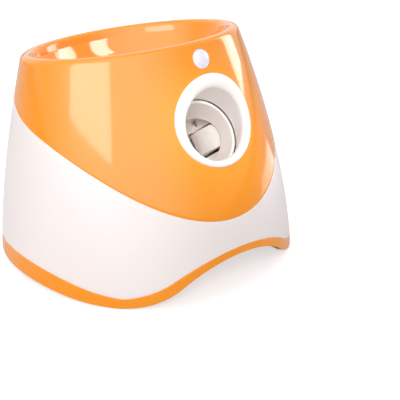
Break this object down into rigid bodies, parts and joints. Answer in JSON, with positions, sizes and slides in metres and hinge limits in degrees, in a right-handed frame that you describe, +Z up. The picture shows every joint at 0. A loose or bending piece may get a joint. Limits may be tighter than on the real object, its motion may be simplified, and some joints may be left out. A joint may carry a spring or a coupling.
{
  "type": "automatic dog ball launcher",
  "caption": "Flared oval tabletop ball launcher with an open hopper on top, an angled round outlet and sensor in front, arched base, and driven wheels, feed gate and rear controls inside.",
  "frame": {"origin": "on the floor under the middle of the base", "axes": "+Z is up, the outlet faces -Y, and X runs from side to side"},
  "size_m": [0.2496, 0.253, 0.1955],
  "materials": {
    "orange_gloss": "high gloss",
    "white_gloss": "satin gloss",
    "bezel_white": "satin",
    "milky_lens": "translucent satin",
    "housing_white": "matt",
    "tyre_white": "matt",
    "hub_white": "matt",
    "motor_steel": "satin",
    "shaft_steel": "polished",
    "black_plastic": "matt",
    "panel_grey": "matt",
    "button_orange": "satin",
    "light_clear": "clear",
    "circuit_green": "satin",
    "contact_nickel": "satin",
    "foot_rubber": "matt",
    "screw_zinc": "satin"
  },
  "bodies": {
    "launcher": {"upper_shell": "orange_gloss", "hopper_funnel": "orange_gloss", "outlet_bezel": "bezel_white", "side_skirt": "white_gloss", "base_band": "orange_gloss", "base_plate": "orange_gloss", "control_panel": "panel_grey", "range_lights": "light_clear", "panel_board": "circuit_green", "dc_jack": "black_plastic", "launch_housing_right": "housing_white", "launch_housing_left": "housing_white", "feed_tube_right": "housing_white", "feed_tube_left": "housing_white", "motor_screws": "screw_zinc", "gate_bracket": "housing_white", "gate_motor": "black_plastic", "trip_pin": "shaft_steel", "trip_bracket": "housing_white", "trip_switch": "black_plastic", "sensor_lens": "milky_lens", "sensor_board": "circuit_green", "battery_box": "black_plastic", "battery_contacts": "contact_nickel", "battery_springs": "contact_nickel", "control_board": "circuit_green", "board_parts": "black_plastic", "board_screws": "screw_zinc", "buzzer": "black_plastic", "base_screws": "screw_zinc", "wheel_motor_left": "motor_steel", "foot_front_left": "foot_rubber", "foot_rear_left": "foot_rubber", "wheel_motor_right": "motor_steel", "foot_front_right": "foot_rubber", "foot_rear_right": "foot_rubber"},
    "wheel_left": {"wheel_tyre_left": "tyre_white", "wheel_hub_left": "hub_white", "wheel_shaft_left": "shaft_steel"},
    "wheel_right": {"wheel_tyre_right": "tyre_white", "wheel_hub_right": "hub_white", "wheel_shaft_right": "shaft_steel"},
    "gate": {"feed_gate": "housing_white", "gate_shaft": "shaft_steel"},
    "trip": {"trip_lever": "black_plastic"},
    "power": {"power_button": "button_orange"},
    "range": {"range_button": "button_orange"},
    "door": {"battery_door": "orange_gloss"}
  },
  "joints": [
    {"name": "left_wheel_spin", "type": "hinge", "parent": "launcher", "child": "wheel_left", "pos_m": [-0.0505, -0.04986, 0.09953], "axis": [0, 0.5878, 0.809], "continuous": true},
    {"name": "right_wheel_spin", "type": "hinge", "parent": "launcher", "child": "wheel_right", "pos_m": [0.0505, -0.04986, 0.09953], "axis": [0, 0.5878, 0.809], "continuous": true},
    {"name": "feed_gate_swing", "type": "hinge", "parent": "launcher", "child": "gate", "pos_m": [0, -0.026, 0.0545], "axis": [1, 0, 0], "range_deg": [0, 70]},
    {"name": "trip_lever_press", "type": "hinge", "parent": "launcher", "child": "trip", "pos_m": [0, 0.016, 0.064], "axis": [1, 0, 0], "range_deg": [0, 8], "stiffness_Nm_per_rad": 0.02, "springref_deg": -5.73},
    {"name": "power_button_press", "type": "slide", "parent": "launcher", "child": "power", "axis": [0, -0.9877, -0.1564], "range_m": [0, 0.0012], "stiffness_N_per_m": 800, "springref_m": -0.001},
    {"name": "range_button_press", "type": "slide", "parent": "launcher", "child": "range", "axis": [0, -0.9877, -0.1564], "range_m": [0, 0.0012], "stiffness_N_per_m": 800, "springref_m": -0.001},
    {"name": "battery_door_swing", "type": "hinge", "parent": "launcher", "child": "door", "pos_m": [0, 0.036, 0.038], "axis": [-1, 0, 0], "range_deg": [0, 30]}
  ]
}
